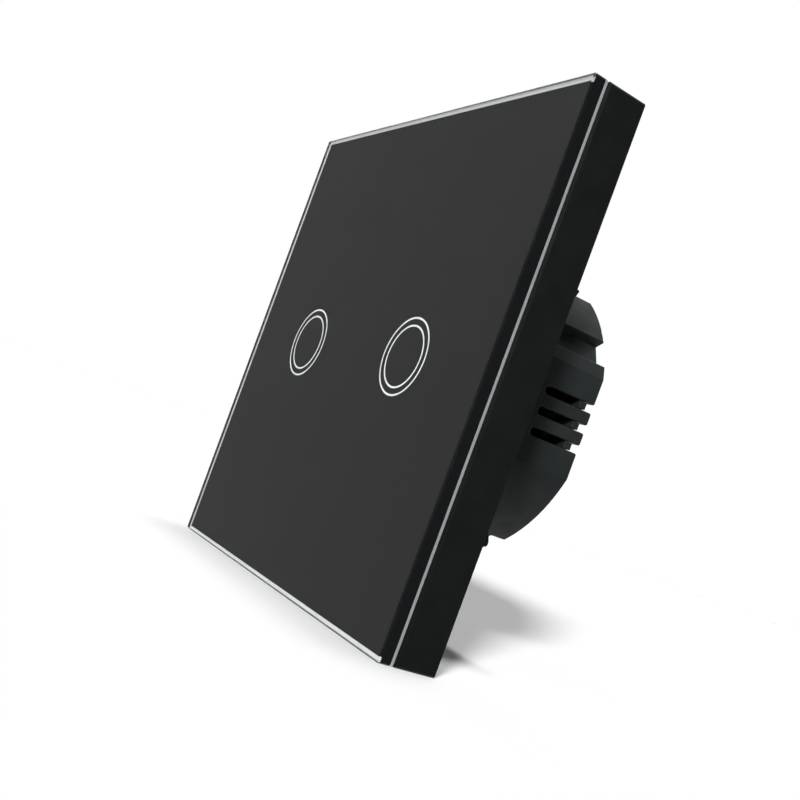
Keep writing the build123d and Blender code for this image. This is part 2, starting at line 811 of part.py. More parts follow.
# Film capacitor, fuse and bridge rectifier: moulded blocks with rounded corners
for name, size, height, place, round_radius in (
    ("film_capacitor", (film_thickness, film_length), film_height, film_place, film_round),
    ("fuse", (fuse_width, fuse_thickness), fuse_height, fuse_place, fuse_round),
):
    with BuildPart() as block:
        with BuildSketch(inside_wall(power_board_back)):
            with Locations(place):
                RectangleRounded(*size, round_radius)
        extrude(amount=-height)
        fillet(block.faces().sort_by(Axis.Y)[-1].edges(), radius=round_radius / 2)
    block.part.label = name
    export_step(block.part, f"parts/{name}.step")

with BuildPart() as bridge:
    with BuildSketch(inside_wall(board_depth)):
        with Locations(bridge_place):
            Rectangle(bridge_width, bridge_length)
    extrude(amount=bridge_height)
    chamfer(bridge.faces().sort_by(Axis.Y)[0].edges(), length=bridge_round)
bridge.part.label = "bridge_rectifier"
export_step(bridge.part, "parts/bridge_rectifier.step")

# Filter choke: a drum core and the winding round its neck
with BuildPart() as choke_core:
    with BuildSketch(inside_wall(power_board_back)):
        with Locations(drum_place):
            Circle(drum_radius)
    extrude(amount=-drum_height)
    with BuildSketch(inside_wall(power_board_back + drum_flange)):
        with Locations(drum_place):
            Circle(drum_radius + overrun)
            Circle(drum_neck, mode=Mode.SUBTRACT)
    extrude(amount=-(drum_height - 2 * drum_flange), mode=Mode.SUBTRACT)
choke_core.part.label = "choke_core"
export_step(choke_core.part, "parts/choke_core.step")

with BuildPart() as choke_winding:
    with BuildSketch(inside_wall(power_board_back + drum_flange + slip_gap)):
        with Locations(drum_place):
            Circle(winding_radius)
            Circle(drum_neck + slip_gap, mode=Mode.SUBTRACT)
    extrude(amount=-(drum_height - 2 * drum_flange - 2 * slip_gap))
choke_winding.part.label = "choke_winding"
export_step(choke_winding.part, "parts/choke_winding.step")

# Varistor: a coated disc standing on edge, on two short leads
with BuildPart() as varistor:
    disc_plane = Plane.XY.offset(varistor_place[1] - varistor_thickness / 2)
    disc_centre = (varistor_place[0], power_board_back + varistor_lift + varistor_radius)
    with BuildSketch(disc_plane):
        with Locations(disc_centre):
            Circle(varistor_radius)
    extrude(amount=varistor_thickness)
    fillet(varistor.edges().filter_by(GeomType.CIRCLE), radius=varistor_thickness / 4)
    with BuildSketch(inside_wall(power_board_back)):
        with Locations(varistor_place):
            with GridLocations(varistor_radius, 0, 2, 1):
                Rectangle(pin_side, pin_side)
    extrude(amount=-(varistor_lift + varistor_radius / 2))
varistor.part.label = "varistor"
export_step(varistor.part, "parts/varistor.step")

# Relays: length along Z, armature hinged at the lower end, contacts at the upper end
yoke_back = power_board_back + relay_base_lift + relay_base_height
coil_start = yoke_back + yoke_thickness + slip_gap
spring_back = power_board_back + relay_height - relay_wall - armature_room - spring_thickness
armature_back = spring_back - armature_thickness
yoke_tip = armature_back - pivot_gap
bobbin_height = armature_back - air_gap - core_cap - coil_start
fixed_contact_tip = spring_back - contact_height - contact_gap
yoke_place = yoke_margin + relay_wall - relay_end
coil_place = yoke_place + core_spacing
contact_place = relay_end - relay_wall - contact_margin
for number, centre_x in enumerate(relay_places, start=1):
    side_plane = Plane.YZ.offset(centre_x)

    with BuildPart() as relay_case:
        with BuildSketch(inside_wall(power_board_back)):
            with Locations((centre_x, 0)):
                RectangleRounded(relay_width, relay_length, relay_round)
        extrude(amount=-relay_height)
        fillet(relay_case.faces().sort_by(Axis.Y)[-1].edges(), radius=relay_round / 2)
        with BuildSketch(inside_wall(power_board_back)):
            with Locations((centre_x, 0)):
                Rectangle(relay_width - 2 * relay_wall, relay_length - 2 * relay_wall)
        extrude(amount=-(relay_height - relay_wall), mode=Mode.SUBTRACT)
    relay_case.part.label = f"relay_{number}_case"
    export_step(relay_case.part, f"parts/relay_{number}_case.step")

    with BuildPart() as relay_base:
        with BuildSketch(inside_wall(power_board_back + relay_base_lift)):
            with Locations((centre_x, 0)):
                Rectangle(
                    relay_width - 2 * relay_wall - 2 * slip_gap,
                    relay_length - 2 * relay_wall - 2 * slip_gap,
                )
        extrude(amount=-relay_base_height)
    relay_base.part.label = f"relay_{number}_base"
    export_step(relay_base.part, f"parts/relay_{number}_base.step")

    with BuildPart() as yoke:
        with BuildSketch(side_plane):
            with Locations(((yoke_back + yoke_tip) / 2, yoke_place)):
                Rectangle(yoke_tip - yoke_back, yoke_thickness)
            with Locations((yoke_back + yoke_thickness / 2, yoke_place + yoke_foot / 2)):
                Rectangle(yoke_thickness, yoke_foot)
        extrude(amount=yoke_width / 2, both=True)
    yoke.part.label = f"relay_{number}_yoke"
    export_step(yoke.part, f"parts/relay_{number}_yoke.step")

    with BuildPart() as coil:
        with BuildSketch(inside_wall(coil_start)):
            with Locations((centre_x, coil_place)):
                Circle(bobbin_radius)
        extrude(amount=-bobbin_height)
        with BuildSketch(inside_wall(coil_start + bobbin_flange)):
            with Locations((centre_x, coil_place)):
                Circle(bobbin_radius + overrun)
                Circle(coil_radius, mode=Mode.SUBTRACT)
        extrude(amount=-(bobbin_height - 2 * bobbin_flange), mode=Mode.SUBTRACT)
        with BuildSketch(inside_wall(coil_start + bobbin_height)):
            with Locations((centre_x, coil_place)):
                Circle(core_radius)
        extrude(amount=-core_cap)
    coil.part.label = f"relay_{number}_coil"
    export_step(coil.part, f"parts/relay_{number}_coil.step")

    with BuildPart() as armature:
        with BuildSketch(side_plane):
            armature_start = yoke_place - armature_tail
            with Locations((armature_back + armature_thickness / 2, armature_start + armature_length / 2)):
                Rectangle(armature_thickness, armature_length)
        extrude(amount=armature_width / 2, both=True)
    armature.part.label = f"relay_{number}_armature"
    export_step(armature.part, f"parts/relay_{number}_armature.step")

    spring_start = yoke_place - armature_tail + armature_length - spring_grip
    spring_end = contact_place + contact_radius
    with BuildPart() as contact_spring:
        with BuildSketch(side_plane):
            with Locations((spring_back + spring_thickness / 2, (spring_start + spring_end) / 2)):
                Rectangle(spring_thickness, spring_end - spring_start)
        extrude(amount=spring_width / 2, both=True)
        with BuildSketch(inside_wall(spring_back)):
            with Locations((centre_x, contact_place)):
                Circle(contact_radius)
        extrude(amount=contact_height)
    contact_spring.part.label = f"relay_{number}_contact_spring"
    export_step(contact_spring.part, f"parts/relay_{number}_contact_spring.step")

    with BuildPart() as fixed_contact:
        with BuildSketch(side_plane):
            blade_top = fixed_contact_tip - contact_height
            with Locations(((yoke_back + blade_top) / 2, contact_place)):
                Rectangle(blade_top - yoke_back, blade_thickness)
            with Locations((blade_top - blade_thickness / 2, contact_place)):
                Rectangle(blade_thickness, 2 * contact_radius)
        extrude(amount=blade_width / 2, both=True)
        with BuildSketch(inside_wall(blade_top)):
            with Locations((centre_x, contact_place)):
                Circle(contact_radius)
        extrude(amount=-contact_height)
    fixed_contact.part.label = f"relay_{number}_fixed_contact"
    export_step(fixed_contact.part, f"parts/relay_{number}_fixed_contact.step")

# Terminal block: a cell for each wire, with room for the cage, its tab and its screw
block_x = (block_outer_x + block_inner_x) / 2
tab_plate_width = cage_width - 2 * cage_side - 2 * tab_side_gap
cell_points = [(cage_x, place) for place in terminal_places]
tab_inner_x = block_inner_x - block_side_wall
cage_room_x = cage_length + 2 * cage_play
with BuildPart() as terminal_block:
    with BuildSketch(inside_wall(power_board_back)):
        with Locations((block_x, 0)):
            RectangleRounded(block_width, block_z, block_round)
    extrude(amount=-block_height)
    with BuildSketch(inside_wall(cage_front - cage_play)):
        with Locations(*cell_points):
            Rectangle(cage_room_x, cage_width + 2 * cage_play)
    extrude(amount=-(collar_front - cage_front + cage_play), mode=Mode.SUBTRACT)
    with BuildSketch(inside_wall(collar_front - overrun)):
        with Locations(*cell_points):
            Circle(clamp_screw_radius + slip_gap)
    extrude(amount=-(collar_thickness + 2 * overrun), mode=Mode.SUBTRACT)
    with BuildSketch(inside_wall(collar_back)):
        with Locations(*cell_points):
            Circle(clamp_head_radius + slip_gap)
    extrude(amount=-block_height, mode=Mode.SUBTRACT)
    tab_room = tab_inner_x - cage_x
    with BuildSketch(inside_wall(power_board_back - overrun)):
        with Locations(*[(cage_x + tab_room / 2, place) for place in terminal_places]):
            Rectangle(tab_room, tab_plate_width + 4 * slip_gap)
    tab_room_height = power_board_back - overrun - tab_depth - tab_plate_thickness - slip_gap
    extrude(amount=tab_room_height, mode=Mode.SUBTRACT)
    entry_depth = cage_front + cage_floor + entry_height / 2 - cage_play
    with BuildSketch(Plane.YZ.offset(block_outer_x - overrun)):
        with Locations(*[(entry_depth, place) for place in terminal_places]):
            Rectangle(entry_height, entry_width)
    extrude(amount=block_entry_wall + 2 * overrun, mode=Mode.SUBTRACT)
terminal_block.part.label = "terminal_block"
export_step(terminal_block.part, "parts/terminal_block.step")

# Fixed brass tabs the wires are pressed against, each with a leg down to the board
tab_outer_x = cage_x - cage_length / 2
tab_end_x = tab_inner_x - 2 * slip_gap
with BuildPart() as terminal_tabs:
    with BuildSketch(inside_wall(tab_depth)):
        with Locations(*[((tab_outer_x + tab_end_x) / 2, place) for place in terminal_places]):
            Rectangle(tab_end_x - tab_outer_x, tab_plate_width)
    extrude(amount=-tab_plate_thickness)
    with BuildSketch(inside_wall(power_board_back)):
        with Locations(*[(tab_end_x - tab_leg / 2, place) for place in terminal_places]):
            Rectangle(tab_leg, tab_plate_width)
    extrude(amount=power_board_back - tab_depth)
terminal_tabs.part.label = "terminal_tabs"
export_step(terminal_tabs.part, "parts/terminal_tabs.step")

# Rising cages and their screws
for number, place in enumerate(terminal_places, start=1):
    with BuildPart() as cage:
        with BuildSketch(Plane.YZ.offset(cage_x)):
            with Locations(((cage_front + cage_back) / 2, place)):
                RectangleRounded(cage_back - cage_front, cage_width, cage_round)
            with Locations((cage_front + cage_floor + cage_inside / 2, place)):
                Rectangle(cage_inside, cage_width - 2 * cage_side, mode=Mode.SUBTRACT)
        extrude(amount=cage_length / 2, both=True)
        with BuildSketch(inside_wall(cage_back + overrun)):
            with Locations((cage_x, place)):
                Circle(clamp_screw_radius + slip_gap)
        extrude(amount=cage_roof + 2 * overrun, mode=Mode.SUBTRACT)
    cage.part.label = f"terminal_cage_{number}"
    export_step(cage.part, f"parts/terminal_cage_{number}.step")

    screw_tip = tab_depth + tab_plate_thickness + seat_gap
    with BuildPart() as clamp_screw:
        with BuildSketch(inside_wall(screw_tip)):
            with Locations((cage_x, place)):
                Circle(clamp_screw_radius)
        extrude(amount=-(head_seat - screw_tip))
        with BuildSketch(inside_wall(head_seat)):
            with Locations((cage_x, place)):
                Circle(clamp_head_radius)
        extrude(amount=-clamp_head_height)
        head_face = clamp_screw.faces().sort_by(Axis.Y)[-1]
        fillet(head_face.edges(), radius=cage_round)
        with BuildSketch(inside_wall(head_seat + clamp_head_height)):
            with Locations((cage_x, place)):
                Rectangle(2 * clamp_head_radius + overrun, clamp_slot_width)
        extrude(amount=clamp_slot_depth, mode=Mode.SUBTRACT)
    clamp_screw.part.label = f"terminal_screw_{number}"
    export_step(clamp_screw.part, f"parts/terminal_screw_{number}.step")
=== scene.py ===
import json
import math

import bmesh
import bpy
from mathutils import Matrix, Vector


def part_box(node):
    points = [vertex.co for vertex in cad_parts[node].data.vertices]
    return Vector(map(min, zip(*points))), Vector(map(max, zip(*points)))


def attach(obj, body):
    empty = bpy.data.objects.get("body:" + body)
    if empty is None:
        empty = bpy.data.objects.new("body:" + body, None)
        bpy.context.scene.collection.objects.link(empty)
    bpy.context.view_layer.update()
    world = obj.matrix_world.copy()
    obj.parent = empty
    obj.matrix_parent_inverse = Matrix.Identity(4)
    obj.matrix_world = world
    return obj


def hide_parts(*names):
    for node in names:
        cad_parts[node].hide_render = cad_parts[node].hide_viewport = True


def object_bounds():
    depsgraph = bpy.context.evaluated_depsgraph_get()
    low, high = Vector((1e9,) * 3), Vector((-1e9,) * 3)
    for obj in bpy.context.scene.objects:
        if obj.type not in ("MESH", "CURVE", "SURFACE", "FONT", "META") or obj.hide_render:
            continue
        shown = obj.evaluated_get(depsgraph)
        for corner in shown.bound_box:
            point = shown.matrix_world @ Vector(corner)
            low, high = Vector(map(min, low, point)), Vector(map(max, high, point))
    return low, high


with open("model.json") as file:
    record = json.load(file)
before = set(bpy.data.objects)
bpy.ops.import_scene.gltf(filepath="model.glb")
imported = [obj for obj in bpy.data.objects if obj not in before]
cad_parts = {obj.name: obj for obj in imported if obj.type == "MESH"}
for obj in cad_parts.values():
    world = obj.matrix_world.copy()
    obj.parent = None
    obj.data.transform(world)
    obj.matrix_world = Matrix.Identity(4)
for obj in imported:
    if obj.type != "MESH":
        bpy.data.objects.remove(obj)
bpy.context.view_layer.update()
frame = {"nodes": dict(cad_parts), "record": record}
nodes = frame["nodes"]
mm = 0.001
print("frame loaded:", len(nodes), "nodes")


# Small helpers for modelling a piece

def deselectAll():
    if bpy.context.object and bpy.context.object.mode != "OBJECT":
        bpy.ops.object.mode_set(mode="OBJECT")
    bpy.ops.object.select_all(action="DESELECT")


def startPiece(name):
    # the new primitive is the active object: its place goes into its mesh, then it is edited
    piece = bpy.context.object
    piece.name = name
    piece.data.name = name
    bpy.ops.object.transform_apply(location=True, rotation=True, scale=True)
    bpy.ops.object.mode_set(mode="EDIT")
    return piece


def pick(piece, kind, test):
    # selects the faces, edges or verts that pass the test, and nothing else
    bpy.ops.mesh.select_mode(type=kind)
    bpy.ops.mesh.select_all(action="DESELECT")
    mesh = bmesh.from_edit_mesh(piece.data)
    for element in {"FACE": mesh.faces, "EDGE": mesh.edges, "VERT": mesh.verts}[kind]:
        if test(element):
            element.select_set(True)
    bmesh.update_edit_mesh(piece.data)


def finishPiece(piece, body, replaced):
    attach(piece, body)
    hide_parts(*replaced)
    deselectAll()


# Materials: every pattern reads Object coordinates
# grain sizes, edge radii and reliefs are given in millimetres
noiseMiddle = (0.35, 0.65)      # most of a noise pattern's values lie between these
edgeSamples = 4
noStretch = (1.0, 1.0, 1.0)


def newMaterial(name, colour, roughness, sockets=None):
    material = bpy.data.materials.new(name)
    material.use_nodes = True
    shader = material.node_tree.nodes["Principled BSDF"]
    shader.inputs["Base Color"].default_value = (*colour, 1.0)
    shader.inputs["Roughness"].default_value = roughness
    for socket, value in (sockets or {}).items():
        shader.inputs[socket].default_value = value
    return material


def objectCoords(material):
    return material.node_tree.nodes.new("ShaderNodeTexCoord").outputs["Object"]


def noise(material, size, detail=3.0, stretch=noStretch):
    # size is the pattern's grain, stretch makes it longer along an axis
    tree = material.node_tree
    mapping = tree.nodes.new("ShaderNodeMapping")
    mapping.inputs["Scale"].default_value = [1.0 / share for share in stretch]
    texture = tree.nodes.new("ShaderNodeTexNoise")
    texture.inputs["Scale"].default_value = 1.0 / (size * mm)
    texture.inputs["Detail"].default_value = detail
    tree.links.new(objectCoords(material), mapping.inputs["Vector"])
    tree.links.new(mapping.outputs["Vector"], texture.inputs["Vector"])
    return texture.outputs["Fac"]


def spread(material, pattern, low, high, start=noiseMiddle[0], end=noiseMiddle[1]):
    # turns the pattern's values from start to end into low to high
    tree = material.node_tree
    ranger = tree.nodes.new("ShaderNodeMapRange")
    ranger.inputs["From Min"].default_value = start
    ranger.inputs["From Max"].default_value = end
    ranger.inputs["To Min"].default_value = low
    ranger.inputs["To Max"].default_value = high
    tree.links.new(pattern, ranger.inputs["Value"])
    return ranger.outputs["Result"]


def varyColour(material, pattern, first, last):
    tree = material.node_tree
    ramp = tree.nodes.new("ShaderNodeValToRGB")
    for stop, position, colour in zip(ramp.color_ramp.elements, noiseMiddle, (first, last)):
        stop.position = position
        stop.color = (*colour, 1.0)
    tree.links.new(pattern, ramp.inputs["Fac"])
    tree.links.new(ramp.outputs["Color"], tree.nodes["Principled BSDF"].inputs["Base Color"])


def varyTone(material, colour, size, dark, light=1.0, detail=3.0):
    # dark and light are shares of the colour
    varyColour(material, noise(material, size, detail),
               [part * dark for part in colour], [part * light for part in colour])


def varyGloss(material, size, low, high, detail=3.0, stretch=noStretch):
    # low and high are the roughness in the glossiest and the dullest patches
    tree = material.node_tree
    pattern = noise(material, size, detail, stretch)
    shader = tree.nodes["Principled BSDF"]
    tree.links.new(spread(material, pattern, low, high), shader.inputs["Roughness"])


def addBump(material, pattern, height, strength):
    tree = material.node_tree
    bump = tree.nodes.new("ShaderNodeBump")
    bump.inputs["Strength"].default_value = strength
    bump.inputs["Distance"].default_value = height * mm
    tree.links.new(pattern, bump.inputs["Height"])
    shader = tree.nodes["Principled BSDF"]
    if shader.inputs["Normal"].is_linked:
        earlier = shader.inputs["Normal"].links[0].from_socket
        tree.links.new(earlier, bump.inputs["Normal"])
    tree.links.new(bump.outputs["Normal"], shader.inputs["Normal"])


def addGrain(material, size, height, strength, detail=2.0, stretch=noStretch):
    addBump(material, noise(material, size, detail, stretch), height, strength)


def roundEdges(material, radius):
    # edges catch the light as if broken by this radius
    tree = material.node_tree
    edge = tree.nodes.new("ShaderNodeBevel")
    edge.samples = edgeSamples
    edge.inputs["Radius"].default_value = radius * mm
    tree.links.new(edge.outputs["Normal"], tree.nodes["Principled BSDF"].inputs["Normal"])


# Finishes of the plastic, metal and electric pieces

def mouldedPlastic(name, colour, roughness, grain, relief, sheen=0.42):
    # spark-eroded tool texture: fine grain, slightly uneven gloss and tone, walls not quite flat
    material = newMaterial(name, colour, roughness, {"Specular IOR Level": sheen})
    roundEdges(material, radius=0.18)
    varyTone(material, colour, size=6.0, dark=0.88, light=1.12)
    varyGloss(material, size=2.5, low=roughness - 0.05, high=roughness + 0.06)
    addGrain(material, size=grain, height=relief, strength=0.6)
    addGrain(material, size=14.0, height=0.03, strength=0.35, detail=1.0)
    return material


def sheetMetal(name, colour, roughness, stretch):
    # rolled sheet: fine lines along the rolling direction and soft spangle
    material = newMaterial(name, colour, roughness, {"Metallic": 1.0})
    roundEdges(material, radius=0.1)
    varyTone(material, colour, size=3.0, dark=0.86, detail=4.0)
    varyGloss(material, size=0.35, low=roughness - 0.04, high=roughness + 0.06, stretch=stretch)
    addGrain(material, size=0.12, height=0.004, strength=0.25, stretch=stretch)
    return material


def glossCoat(name, colour, roughness, grain, relief):
    # dipped or moulded gloss coat with a faint orange peel
    material = newMaterial(name, colour, roughness)
    varyTone(material, colour, size=4.0, dark=0.82, light=1.1)
    varyGloss(material, size=1.2, low=roughness, high=roughness + 0.12)
    addGrain(material, size=grain, height=relief, strength=0.4)
    return material


laminate = {
    "colour": (0.012, 0.11, 0.045),
    "dark": (0.008, 0.085, 0.034),
    "light": (0.018, 0.135, 0.058),
    "weave": 2400.0,        # checks along one metre
}


def laminateGreen():
    # solder mask over glass cloth: a fine weave just shows in relief, and the tone varies in soft patches
    material = newMaterial("laminateGreen", laminate["colour"], roughness=0.3)
    tree = material.node_tree
    weave = tree.nodes.new("ShaderNodeTexChecker")
    weave.inputs["Scale"].default_value = laminate["weave"]
    tree.links.new(objectCoords(material), weave.inputs["Vector"])
    varyColour(material, noise(material, size=2.0), laminate["dark"], laminate["light"])
    varyGloss(material, size=0.8, low=0.22, high=0.38)
    addBump(material, weave.outputs["Fac"], height=0.01, strength=0.25)
    return material


winding = {
    "colour": (0.62, 0.2, 0.07),
    "wire": 0.2,            # thickness of the wire
    "wander": 0.4,          # how far the turns stray from straight
    "waveScale": 10.0,      # Blender's bands repeat 10 / pi times along one unit
}


def copperWinding():
    # enamelled wire laid side by side: a band pattern across the coil's axis
    colour = winding["colour"]
    material = newMaterial("copperWinding", colour, 0.32, {"Metallic": 0.85})
    tree = material.node_tree
    bands = tree.nodes.new("ShaderNodeTexWave")
    bands.bands_direction = "Y"
    bands.inputs["Scale"].default_value = math.pi / (winding["waveScale"] * winding["wire"] * mm)
    bands.inputs["Distortion"].default_value = winding["wander"]
    tree.links.new(objectCoords(material), bands.inputs["Vector"])
    varyTone(material, colour, size=1.0, dark=0.7)
    varyGloss(material, size=0.5, low=0.25, high=0.42)
    addBump(material, bands.outputs["Fac"], height=winding["wire"] / 2, strength=0.8)
    return material


def frostedGuide():
    material = newMaterial("frostedGuide", (0.82, 0.85, 0.86), 0.35,
                           {"Transmission Weight": 0.6, "IOR": 1.49})
    varyGloss(material, size=0.6, low=0.28, high=0.45)
    addGrain(material, size=0.1, height=0.006, strength=0.5)
    return material


resin = {
    "colour": (0.86, 0.88, 0.9),
    "dark": (0.78, 0.8, 0.78),
    "light": (0.88, 0.9, 0.93),
}


def lampResin():
    material = newMaterial("lampResin", resin["colour"], 0.12, {"Transmission Weight": 0.35})
    varyColour(material, noise(material, size=0.6), resin["dark"], resin["light"])
    addGrain(material, size=0.3, height=0.004, strength=0.3, detail=3.0)
    return material


# Finishes of the glass, its prints and the silver trim
glassColours = {
    "clear": (0.93, 0.97, 0.95),
    "ink": (0.006, 0.0065, 0.006),
    "edge": (0.004, 0.005, 0.0055),
    "silver": (0.54, 0.55, 0.55),
}
foil = {
    "face": (0.76, 0.77, 0.77),
    "cutEdge": (0.43, 0.44, 0.44),
    "edgeWidth": 0.18 * mm,     # the outer strip that darkens towards the cut edge
}


def clearGlass():
    material = newMaterial("clearGlass", glassColours["clear"], 0.0,
                           {"Transmission Weight": 1.0, "IOR": 1.52})
    varyGloss(material, size=9.0, low=0.0, high=0.012, detail=2.0)      # faint smears from hands
    addGrain(material, size=25.0, height=0.004, strength=0.2, detail=1.0)
    return material


def bondedFace():
    # where the print is bonded to the glass, light passes without a second reflection
    return newMaterial("bondedFace", (1.0, 1.0, 1.0), 0.0, {"Transmission Weight": 1.0, "IOR": 1.0})


def glassInk():
    material = newMaterial("glassInk", glassColours["ink"], 0.6, {"Specular IOR Level": 0.0})
    varyTone(material, glassColours["ink"], size=5.0, dark=0.9)
    return material


def blackenedEdge():
    # ground from front to back, so its lines are long along Y
    material = newMaterial("blackenedEdge", glassColours["edge"], 0.16, {"Specular IOR Level": 0.28})
    varyGloss(material, size=0.6, low=0.1, high=0.24)
    addGrain(material, size=0.08, height=0.003, strength=0.5, stretch=(1.0, 12.0, 1.0))
    return material


def silverPrint():
    material = newMaterial("silverPrint", glassColours["silver"], 0.45, {"Specular IOR Level": 0.3})
    varyTone(material, glassColours["silver"], size=0.15, dark=0.88)
    addGrain(material, size=0.06, height=0.003, strength=0.4)
    return material


def distanceOut(material):
    # distance from the panel's middle, sideways or upwards, whichever is more
    tree = material.node_tree
    place = tree.nodes.new("ShaderNodeSeparateXYZ")
    tree.links.new(objectCoords(material), place.inputs["Vector"])
    larger = tree.nodes.new("ShaderNodeMath")
    larger.operation = "MAXIMUM"
    for index, axis in enumerate(("X", "Z")):
        aside = tree.nodes.new("ShaderNodeMath")
        aside.operation = "ABSOLUTE"
        tree.links.new(place.outputs[axis], aside.inputs[0])
        tree.links.new(aside.outputs["Value"], larger.inputs[index])
    return larger.outputs["Value"]


def satinSilver():
    # satin on its face, darker in colour at the cut edge that shows between glass and frame
    material = newMaterial("satinSilver", foil["face"], 0.38, {"Metallic": 0.6})
    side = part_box("silver_trim")[1].x
    outer = spread(material, distanceOut(material), 0.0, 1.0,
                   start=side - foil["edgeWidth"], end=side - foil["edgeWidth"] / 2)
    varyColour(material, outer, foil["face"], foil["cutEdge"])
    varyGloss(material, size=0.5, low=0.3, high=0.46)
    addGrain(material, size=0.08, height=0.004, strength=0.4)
    return material


# One finish for each material slot of the record
# plastics and coats: colour, roughness, grain, relief
# metals: colour, roughness, how far the rolled lines stretch along X, Y and Z
finishes = {
    "back_ink": glassInk(),
    "mark_silver": silverPrint(),
    "trim_silver": satinSilver(),
    "tape": mouldedPlastic("foamTape", (0.03, 0.03, 0.03), 0.85, 0.12, 0.03),
    "frame_plastic": mouldedPlastic("frameBlack", (0.0042, 0.005, 0.0048), 0.5, 0.11, 0.012, sheen=0.14),
    "strap_steel": sheetMetal("zincStrap", (0.6, 0.61, 0.62), 0.32, (1.0, 1.0, 9.0)),
    "housing_plastic": mouldedPlastic("housingSatin", (0.0125, 0.0152, 0.015), 0.5, 0.14, 0.01, sheen=0.12),
    "cover_plastic": mouldedPlastic("coverBlack", (0.011, 0.0132, 0.013), 0.5, 0.13, 0.012, sheen=0.16),
    "screw_steel": sheetMetal("zincScrew", (0.62, 0.62, 0.6), 0.28, (1.0, 6.0, 1.0)),
    "guide_clear": frostedGuide(),
    "board_laminate": laminateGreen(),
    "copper_foil": sheetMetal("copperFoil", (0.72, 0.36, 0.2), 0.3, (1.0, 1.0, 5.0)),
    "lamp_plastic": lampResin(),
    "chip_plastic": mouldedPlastic("chipBlack", (0.018, 0.018, 0.019), 0.55, 0.06, 0.01),
    "contact_metal": sheetMetal("bronzeSpring", (0.7, 0.52, 0.3), 0.3, (1.0, 1.0, 8.0)),
    "capacitor_sleeve": glossCoat("capacitorSleeve", (0.015, 0.02, 0.05), 0.25, 0.5, 0.01),
    "film_plastic": glossCoat("filmYellow", (0.62, 0.42, 0.04), 0.3, 0.4, 0.01),
    "fuse_plastic": glossCoat("fuseBrown", (0.1, 0.035, 0.018), 0.3, 0.4, 0.01),
    "ferrite": mouldedPlastic("ferriteGrey", (0.035, 0.036, 0.04), 0.7, 0.1, 0.02),
    "coil_copper": copperWinding(),
    "varistor_coat": glossCoat("varistorBlue", (0.02, 0.07, 0.26), 0.35, 0.5, 0.02),
    "terminal_plastic": mouldedPlastic("terminalGreen", (0.018, 0.14, 0.07), 0.45, 0.12, 0.01),
    "terminal_brass": sheetMetal("plainBrass", (0.72, 0.5, 0.2), 0.28, (5.0, 1.0, 1.0)),
    "relay_plastic": glossCoat("relayBlue", (0.015, 0.05, 0.14), 0.3, 0.3, 0.008),
    "relay_iron": sheetMetal("nickelIron", (0.55, 0.55, 0.54), 0.3, (1.0, 1.0, 4.0)),
}
slotOf = {row["node"]: row["material_slot"] for row in frame["record"]["subparts"]}
for name, node in nodes.items():
    if slotOf[name] in finishes:        # the glass gets its finishes on its own piece
        node.data.materials.clear()
        node.data.materials.append(finishes[slotOf[name]])
print("finishes given to the nodes")


# Glass pane: clear glass with a bevelled front and blackened sides, in front of the print
glassPane = {
    "bevelWidth": 0.25 * mm,
    "bevelDepth": 0.25 * mm,
    "cornerRadius": 0.5 * mm,
    "cornerSteps": 5,
    "printGap": 0.02 * mm,      # the rear face stands this far in front of the print
    "frontReach": 0.05 * mm,    # verts this close to the front count as part of it
    "cornerReach": 1.0 * mm,    # only the corner edges reach further than this from front to back
    "facing": 0.9,              # a face looks to the front or back above this share of its normal
    "sideways": 0.3,            # and to a side below this one
}


def makeGlassPane():
    low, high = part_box("glass_panel")
    front = low.y
    back = high.y - glassPane["printGap"]
    deselectAll()
    bpy.ops.mesh.primitive_cube_add(
        size=1.0, location=((low.x + high.x) / 2, (front + back) / 2, (low.z + high.z) / 2),
        scale=(high.x - low.x, back - front, high.z - low.z))
    pane = startPiece("glassPane")
    # the front is inset and its outer rim pushed back to make the polished bevel
    pick(pane, "FACE", lambda face: face.normal.y < -glassPane["facing"])
    bpy.ops.mesh.inset(thickness=glassPane["bevelWidth"])
    frontEnd = front + glassPane["frontReach"]
    pick(pane, "VERT", lambda vert: vert.co.y < frontEnd and vert.co.x in (low.x, high.x))
    bpy.ops.transform.translate(value=(0, glassPane["bevelDepth"], 0))
    # the four corners are rounded
    pick(pane, "EDGE",
         lambda edge: abs(edge.verts[0].co.y - edge.verts[1].co.y) > glassPane["cornerReach"])
    bpy.ops.mesh.bevel(offset=glassPane["cornerRadius"], segments=glassPane["cornerSteps"], affect="EDGES")
    bpy.ops.object.mode_set(mode="OBJECT")
    for material in (clearGlass(), blackenedEdge(), bondedFace()):
        pane.data.materials.append(material)
    clearIndex, sideIndex, rearIndex = range(3)
    for face in pane.data.polygons:
        face.material_index = clearIndex
        if abs(face.normal.y) < glassPane["sideways"]:
            face.material_index = sideIndex
        elif face.normal.y > glassPane["facing"]:
            face.material_index = rearIndex
    pane.visible_shadow = False     # the lamps reach the print through the glass
    return pane


pane = makeGlassPane()
finishPiece(pane, "panel", ("glass_panel",))
print("glass pane done")


# Camera where the photograph was taken from
view = {
    "place": (0.152753, -0.082589, -0.017417),
    "turn": (90.0, -20.236, 63.5555),
    "lens": 47.55,
    "sensor": 36.0,
    "shift": (0.0961, 0.0670),
    "clipStart": 0.005,
}
cameraData = bpy.data.cameras.new("photoCamera")
camera = bpy.data.objects.new("photoCamera", cameraData)
bpy.context.scene.collection.objects.link(camera)
camera.location = view["place"]
camera.rotation_euler = [math.radians(angle) for angle in view["turn"]]
cameraData.sensor_width = view["sensor"]
cameraData.lens = view["lens"]
cameraData.shift_x, cameraData.shift_y = view["shift"]
cameraData.clip_start = view["clipStart"]
bpy.context.scene.camera = camera

